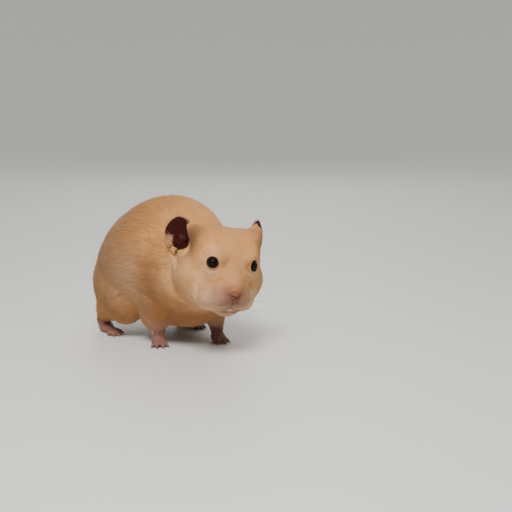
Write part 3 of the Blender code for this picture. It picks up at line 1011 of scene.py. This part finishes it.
bodyMarkingsAndShading = {
    "paleBelly": ((0, 0, 4), (60, 30, 15), tint(200, 166, 128), 0.75),
    "flank": ((-6, -30, 32), (26, 12, 18), tint(232, 184, 138), 0.75),
    "farFlank": ((-12, 30, 30), (26, 12, 16), tint(228, 178, 130), 0.7),
    # painted shade: the low chest, under the head and near the floor, is darker where shade falls
    "lowChestShade": ((26, -14, 20), (20, 20, 12), tint(142, 90, 50), 0.7),
    # painted shade: the low flank is darker where it turns down, away from the light
    "lowFlankShade": ((2, -30, 17), (34, 12, 10), tint(184, 124, 74), 0.6),
    # painted shade: the shoulder and neck behind the cheek, darker where the cheek shades them
    "shoulder": ((20, -27, 36), (13, 13, 15), tint(156, 102, 58), 0.85),
    # painted shade: the rump is darker where the body turns away from the light
    "rump": ((-30, 0, 38), (34, 56, 44), tint(150, 104, 64), 0.75),
}
tailMarking = ((9, 4, 4), skinTints["paw"], 0.8)  # about the tail's middle
markingValues = {
    "fade": (0.25, 1.5),  # where a marking starts and ends to fade, as shares of its size
    "drift": 5 * mm,  # how far noise blurs its outline
    "driftScale": 140.0,
}
legMarkingsAndShading = {  # over the boxes of these nodes, grown by mm
    "foreleg": ("forefoot", (4, 4, 11), tint(180, 140, 128), 0.9),
    # the feet: pink skin, darker than the legs above in part as painted shade
    "forefoot": ("forefoot", (2, 2, 3), tint(140, 102, 90), 0.85),
    "hindfoot": ("hindfoot", (2, 2, 3), tint(140, 102, 90), 0.85),
}


def allMarkingsAndShading():
    # every marking, painted shade and painted light among them, as a pose, radii in metres, colour and
    # strength
    radii, shade, strength = tailMarking
    found = [(Matrix.Translation(middle("tail")), Vector(radii) * mm, shade, strength)]
    for (x, y, z), radii, shade, strength in bodyMarkingsAndShading.values():
        found.append((Matrix.Translation(Vector((x, y, z)) * mm), Vector(radii) * mm, shade, strength))
    for node, grow, shade, strength in legMarkingsAndShading.values():
        for side in sides:
            low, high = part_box(f"{node}_{side}")
            radii = (high - low) / 2 + Vector(grow) * mm
            found.append((Matrix.Translation((low + high) / 2), radii, shade, strength))
    for (x, y, z), radii, shade, strength in headMarkingsAndShading.values():
        for sign in (1, -1) if y else (1,):
            place = head @ Matrix.Translation(Vector((x, y * sign, z)) * mm)
            found.append((place, Vector(radii) * mm, shade, strength))
    return found


def markingsAndShadingGroup():
    group = bpy.data.node_groups.new("coatMarkingsAndShading", "ShaderNodeTree")
    group.interface.new_socket(name="Place", in_out="INPUT", socket_type="NodeSocketVector")
    group.interface.new_socket(name="Colour", in_out="OUTPUT", socket_type="NodeSocketColor")
    start, end = group.nodes.new("NodeGroupInput"), group.nodes.new("NodeGroupOutput")
    drift = noiseOn(group, start.outputs["Place"], markingValues["driftScale"]).outputs["Color"]
    moved = addNode(group, "VectorMath", {0: drift, 1: (0.5, 0.5, 0.5)}, operation="SUBTRACT")
    moved = addNode(group, "VectorMath", {0: moved.outputs[0], "Scale": markingValues["drift"]},
                    operation="SCALE")
    place = addNode(group, "VectorMath", {0: start.outputs["Place"], 1: moved.outputs[0]}).outputs[0]
    colour, (full, none) = baseCoat, markingValues["fade"]
    for pose, radii, shade, strength in allMarkingsAndShading():
        spot = addNode(group, "Mapping", {
            "Vector": place, "Location": pose.translation, "Rotation": pose.to_euler(), "Scale": radii,
        }, vector_type="TEXTURE")
        gap = addNode(group, "VectorMath", {0: spot.outputs[0]}, operation="LENGTH").outputs["Value"]
        amount = addNode(group, "MapRange", {
            "Value": gap, "From Min": full, "From Max": none, "To Min": strength, "To Max": 0.0,
        }, interpolation_type="SMOOTHSTEP").outputs[0]
        colour = mixColour(group, amount, colour, shade)
    group.links.new(colour, end.inputs["Colour"])
    return group


def newMaterial(name, feeds=None, **values):
    # feeds makes the outputs that drive sockets, and values set others, with _ for each space
    made = bpy.data.materials.new(name)
    made.use_nodes = True
    shader = made.node_tree.nodes["Principled BSDF"]
    for label, value in values.items():
        shader.inputs[label.replace("_", " ")].default_value = value
    for label, output in (feeds(made.node_tree) if feeds else {}).items():
        made.node_tree.links.new(output, shader.inputs[label])
    return made


coatMarkingsAndShading = markingsAndShadingGroup()


def markedAndShadedColour(tree, place):
    return addNode(tree, "Group", {"Place": place}, node_tree=coatMarkingsAndShading).outputs["Colour"]


def uneven(tree, colour, amount, lightness):
    # makes the colour lighter or darker as the amount goes from 0 to 1
    low, high = lightness
    value = addNode(tree, "MapRange", {"Value": amount, "To Min": low, "To Max": high}).outputs[0]
    return addNode(tree, "HueSaturation", {"Value": value, "Color": colour}).outputs[0]


def coatFeeds(tree):
    colour = markedAndShadedColour(tree, attribute(tree, "rootPlace", "Vector"))
    colour = mixColour(tree, attribute(tree, "onEar"), colour, furTints["ear"])
    toRoot = calc(tree, "SUBTRACT", 1.0, attribute(tree, "tuftAlong"))
    atRoot = calc(tree, "MULTIPLY", calc(tree, "POWER", toRoot, furTints["rootFade"]), furTints["rootShare"])
    colour = mixColour(tree, atRoot, colour, furTints["root"], "MULTIPLY")
    return {"Base Color": uneven(tree, colour, attribute(tree, "tuftSeed"), furTints["lightness"])}


def skinFeeds(tree):
    place = addNode(tree, "TexCoord").outputs["Object"]
    colour = mixColour(tree, 1.0, markedAndShadedColour(tree, place), skinTints["underCoat"], "MULTIPLY")
    for name in ("paw", "nose", "earBack", "earInsideDarkAndShade", "lid", "nostril"):
        colour = mixColour(tree, attribute(tree, name + "Skin"), colour, skinTints[name])
    mottle = noiseOn(tree, place, skinTints["mottleScale"], 4.0).outputs["Fac"]
    colour = uneven(tree, colour, mottle, skinTints["lightness"])
    wrinkle = addNode(tree, "TexVoronoi", {"Vector": place, "Scale": skinTints["wrinkleScale"]})
    wrinkle = calc(tree, "MULTIPLY", wrinkle.outputs["Distance"], skinTints["wrinkleShare"])
    height = calc(tree, "ADD", mottle, wrinkle)
    bump = addNode(tree, "Bump", {"Height": height, "Strength": 0.5, "Distance": skinTints["bumps"]})
    return {"Base Color": colour, "Normal": bump.outputs["Normal"]}


def nostrilsOn(points):
    # 1 in the nostrils and the cleft between them
    found = np.zeros(len(points))
    for name in ("nostril", "noseCleft"):
        _, width, path = noseFolds[name]
        for sign in (1, -1):
            knots = nearest(skinTree, fromHead([(x, y * sign, z) for x, y, z in path]))[0]
            found = np.maximum(found, closeness(points, knots, width * mm))
    return found


def paintSkin():
    # masks over the skin for its bare parts
    points, normals = pointsOf(skin), normalsOf(skin)
    shares = sharesOf(partGaps(points), 0.5 * mm)
    onEar, inEar = shareOf(shares, "ear"), insideEar(points, normals)
    nearFloor = 1 - ramp(points[:, 2], *skinTints["pawHeight"])
    masks = {
        # the paws' skin colour, in part painted shade, also covers all skin near the floor
        "paw": np.maximum(shareOf(shares, "paw") + shareOf(shares, "tail"), nearFloor),
        "nose": shareOf(shares, "nose"),
        "earBack": onEar * (1 - inEar),
        # dark ear skin on the open side, and painted shade deep in the hollow
        "earInsideDarkAndShade": np.maximum(onEar * inEar, 1 - ramp(inHollow(points), *earValues["darkFade"])),
        "lid": onLids(points, lidValues["darkTo"]),
        # painted shade in the nostrils and the cleft
        "nostril": nostrilsOn(points),
    }
    for name, values in masks.items():
        addValues(skin.data, name + "Skin", "FLOAT", values.clip(0, 1))


say("materials")
furCoat = newMaterial("furCoat", coatFeeds, Roughness=0.7, Specular_IOR_Level=0.25,
                      Sheen_Weight=0.08, Sheen_Roughness=0.4)
for piece in coat:
    piece.data.materials.append(furCoat)
    roots = read(piece.data.attributes["rootPlace"].data, "vector", 3)
    onEar = (piece.name == "coat_ears") * (1 - 0.7 * earEdge(roots))
    addValues(piece.data, "onEar", "FLOAT", onEar)
skin.data.materials.append(
    newMaterial("bareAndFurredSkin", skinFeeds, Roughness=0.55, Specular_IOR_Level=0.14))
paintSkin()


# Eyes

eyeValues = {
    "cornea": 0.035,  # how far the front of the eye bulges, of its radius
    "corneaReach": 38,  # degrees
    "front": (0.006, 0.004, 0.003, 1),
    "edge": (0.02, 0.010, 0.007, 1),
}


def eyeFeeds(tree):
    edge = addNode(tree, "LayerWeight", {"Blend": 0.3}).outputs["Facing"]
    return {"Base Color": mixColour(tree, edge, eyeValues["front"], eyeValues["edge"])}


def makeEye(side):
    piece = added(bpy.ops.mesh.primitive_uv_sphere_add, segments=64, ring_count=40, radius=eyeRadius)
    piece.name = f"eyeball_{side}"
    places = pointsOf(piece)
    angle = np.degrees(np.arccos(np.clip(unit(places) @ gazes[side], -1, 1)))
    swell = 1 + eyeValues["cornea"] * np.exp(-(angle / eyeValues["corneaReach"]) ** 2)
    placePoints(piece, places * swell[:, None] + eyeCentres[side])
    piece.data.shade_smooth()
    piece.data.materials.append(darkEye)
    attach(piece, "root")
    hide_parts(f"eye_{side}")


say("eyes")
darkEye = newMaterial("darkEye", eyeFeeds, Roughness=0.05, Specular_IOR_Level=0.08)
for side in sides:
    makeEye(side)


# What claws and whiskers share

def taperedRod(corners, thickness, length, steps, taper, droop=0.0):
    # along x from the origin, thinner by the taper and turned down by the droop at each step
    rod = added(bpy.ops.mesh.primitive_circle_add, vertices=corners, radius=thickness,
                fill_type="NGON", rotation=(0, math.radians(90), 0))
    bpy.ops.object.transform_apply(rotation=True)
    heading, at, work = Vector((length / steps, 0, 0)), Vector(), []
    for step in range(steps):
        at = at + heading
        size = (1 - taper * (step + 1)) / (1 - taper * step)
        work.append((bpy.ops.mesh.extrude_region_move, {"TRANSFORM_OT_translate": {"value": heading}}))
        work.append((bpy.ops.transform.resize, {"value": (size, size, size), "center_override": at}))
        work.append((bpy.ops.transform.rotate, {"value": -droop, "orient_axis": "Y", "center_override": at}))
        heading = Matrix.Rotation(droop, 3, "Y") @ heading
    inEditMode(rod, *work)
    inEditMode(rod, (bpy.ops.mesh.normals_make_consistent, {"inside": False}))
    return rod


def streaked(name, scale, first, second):
    # a hard and slightly uneven finish
    def feeds(tree):
        streak = noiseOn(tree, addNode(tree, "TexCoord").outputs["Object"], scale).outputs["Fac"]
        return {"Base Color": mixColour(tree, streak, first, second)}
    return newMaterial(name, feeds, Roughness=0.35)


# Claws: one modelled claw, copied to every toe

clawValues = {
    "length": 1.7 * mm,
    "thickness": 0.3 * mm,
    "steps": 6,
    "taper": 0.1515,  # share of the thickness lost at each step
    "droop": 9,  # degrees at each step
    "inToe": 0.94,  # share of the length that starts behind the toe's tip
    "height": 0.95 * mm,
    "toes": {"fore": 4, "hind": 5},
    "toesFrom": {"fore": 2.4 * mm, "hind": 8.0 * mm},  # where the toes spread from, ahead of the ankle
    "apart": {"fore": 9.0, "hind": 5.0},  # least angle between two toes at the ankle, in degrees
    "ankle": 0.6 * mm,  # depth of the foot's top that gives the ankle's place
    "sole": 2.2 * mm,  # how high the toes' tips are looked for
}


def clawPlaces():
    # the tip and direction of each claw, from the farthest low points of each foot
    found = []
    for node in partNodes["paw"]:
        kind = node[:4]
        points = pointsOf(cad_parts[node])
        height = points[:, 2]
        ankle = points[height > height.max() - clawValues["ankle"]].mean(0) * (1, 1, 0)
        low = points[height < clawValues["sole"]] * (1, 1, 0)
        reach = np.linalg.norm(low - ankle, axis=1)
        angle = np.degrees(np.arctan2(*(low - ankle)[:, 1::-1].T))
        tips = []
        for i in np.argsort(-reach):
            if len(tips) < clawValues["toes"][kind] and \
                    all(abs(angle[i] - angle[j]) > clawValues["apart"][kind] for j in tips):
                tips.append(i)
        heading = unit(low[tips].mean(0) - ankle)
        start = ankle + heading * clawValues["toesFrom"][kind]
        found += [(low[i], unit(low[i] - start)) for i in tips]
    return found


def makeClaws():
    values, claws = clawValues, []
    model = taperedRod(8, values["thickness"], values["length"], values["steps"], values["taper"],
                       math.radians(values["droop"]))
    applied(model, "SUBSURF", levels=1, render_levels=1)
    for tip, way in clawPlaces():
        claw = newPiece("claw", model.data.copy())
        base = Vector(tip) - Vector(way) * values["length"] * values["inToe"]
        base.z = values["height"]
        claw.data.transform(Matrix.Translation(base) @ Matrix.Rotation(math.atan2(way[1], way[0]), 4, "Z"))
        claws.append(claw)
    dropped(model)
    piece = joined(claws, "claws")
    piece.data.shade_smooth()
    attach(piece, "root")
    piece.data.materials.append(streaked("paleHorn", 1500.0, tint(214, 182, 158), tint(176, 138, 116)))


say("claws")
makeClaws()


# Whiskers: one straight tapered hair, copied and bent

whiskerValues = {
    "thickness": 0.04 * mm,
    "steps": 10,
    "taper": 0.085,
    "rows": 4,
    "columns": 5,
    "length": (13 * mm, 23 * mm),  # at the front and at the back of the pad
    "pad": ((18.6, 4.2, -9.4), (13.4, 8.2, -8.6)),  # its top row's ends, in the head's frame
    "rowDrop": 1.5,
    "rootDepth": 0.8 * mm,
    "uneven": 0.08,
    "ahead": (0.15, -0.6),  # how far a whisker points ahead, at the front and at the back
    "rise": 0.35,  # how far one of the top row points up
    "riseByRow": -0.28,
    "riseSpread": 0.06,
    "bend": 0.18,  # how far the tip is left behind, of the length
    "bendWay": (-1.0, 0.0, -0.25),
}


def bentHair(model, root, way, back, length):
    hair = newPiece("hair", model.data.copy())
    along, across, over = pointsOf(hair).T[:, :, None]
    side = unit(np.cross(way, back))
    path = root + way * along * length + back * (along ** 2 * length * whiskerValues["bend"])
    placePoints(hair, path + side * over + np.cross(side, way) * across)
    return hair


def makeWhiskers():
    values = whiskerValues
    model, hairs = taperedRod(5, values["thickness"], 1.0, values["steps"], values["taper"]), []
    back = unit(headAxes @ np.array(values["bendWay"]))

    def between(name, share):
        first, last = np.array(values[name], float)
        return first * (1 - share) + last * share

    for sign in sides.values():
        for row in range(values["rows"]):
            for column in range(values["columns"]):
                share = (column + 0.5 * (row % 2)) / values["columns"]
                place = between("pad", share) - (0, 0, values["rowDrop"] * row)
                root = nearest(partTrees["head"], fromHead([place * (1, sign, 1)]))[0][0]
                length = between("length", share) * luck.normal(1, values["uneven"])
                rise = values["rise"] + values["riseByRow"] * row + values["riseSpread"] * luck.normal()
                way = unit(headAxes @ np.array((between("ahead", share), sign, rise)))
                hairs.append(bentHair(model, root - way * values["rootDepth"], way, back, length))
    dropped(model)
    piece = joined(hairs, "whiskers")
    piece.data.shade_smooth()
    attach(piece, "root")
    piece.data.materials.append(streaked("whiskerHair", 300.0, tint(206, 172, 136), tint(150, 116, 88)))


say("whiskers")
makeWhiskers()


# Floor, light and camera

floorValues = {
    "flat": 0.9,  # radius that lies level, in metres
    # radius and height of each step up from there
    "steps": [(1.2, 0.03), (1.5, 0.13), (1.8, 0.32), (2.1, 0.62), (2.35, 1.02), (2.5, 1.5), (2.55, 2.1)],
    "tint": tint(225, 223, 218),
}


def makeFloor():
    # level under the hamster and curved up all round, far off
    size, height = floorValues["flat"], 0
    piece = added(bpy.ops.mesh.primitive_circle_add, vertices=96, radius=size, fill_type="NGON")
    piece.name = "floor"
    steps = [(bpy.ops.mesh.select_mode, {"type": "EDGE"}), (bpy.ops.mesh.region_to_loop, {})]
    for radius, level in floorValues["steps"]:
        up, wider = (0, 0, level - height), (radius / size, radius / size, 1)
        steps.append((bpy.ops.mesh.extrude_edges_move, {"TRANSFORM_OT_translate": {"value": up}}))
        steps.append((bpy.ops.transform.resize, {"value": wider, "center_override": (0, 0, level)}))
        size, height = radius, level
    inEditMode(piece, *steps)
    inEditMode(piece, (bpy.ops.mesh.normals_make_consistent, {"inside": True}))
    piece.data.shade_smooth()
    piece.data.materials.append(newMaterial("floor", Roughness=0.5, Base_Color=floorValues["tint"]))


say("floor, light and camera")
makeFloor()

viewValues = {
    "turn": 40.0,  # degrees round from the hamster's nose end, to its right
    "rise": 8.0,
    "distance": 430 * mm,  # from the middle of the head
    "besideHead": 15.5 * mm,
    "aboveHead": 4.46 * mm,
    "lens": 63.8,
}


def makeCamera():
    turn, rise = math.radians(viewValues["turn"]), math.radians(viewValues["rise"])
    back = Vector((math.cos(turn) * math.cos(rise), -math.sin(turn) * math.cos(rise), math.sin(rise)))
    camera = newPiece("camera", bpy.data.cameras.new("camera"))
    camera.data.lens = viewValues["lens"]
    camera.data.clip_start = 0.01
    look = back.to_track_quat("Z", "Y")
    offset = Vector((viewValues["besideHead"], viewValues["aboveHead"], viewValues["distance"]))
    camera.location = head.translation + look @ offset
    camera.rotation_euler = look.to_euler()
    bpy.context.scene.camera = camera


lightValues = {
    "lamps": {  # place and size in metres, and watts
        "key": ((0.5, -0.48, 0.76), 0.4, 11.5),
        "fill": ((-0.7, 0.6, 0.6), 0.8, 3.0),
    },
    "aim": (0, 0, 0.03),
    "sky": (0.86, 0.88, 0.9, 1),
    "skyStrength": 0.66,
}


def addLight(name, place, size, power):
    lamp = newPiece(name, bpy.data.lights.new(name, "AREA"))
    lamp.data.shape = "DISK"
    lamp.data.size = size
    lamp.data.energy = power
    lamp.location = place
    towards = Vector(lightValues["aim"]) - Vector(place)
    lamp.rotation_euler = towards.to_track_quat("-Z", "Y").to_euler()


def makeSky():
    world = bpy.data.worlds.new("studio")
    bpy.context.scene.world = world
    world.use_nodes = True
    background = world.node_tree.nodes["Background"]
    background.inputs["Color"].default_value = lightValues["sky"]
    background.inputs["Strength"].default_value = lightValues["skyStrength"]


makeCamera()
for name, (place, size, power) in lightValues["lamps"].items():
    addLight(name, place, size, power)
makeSky()
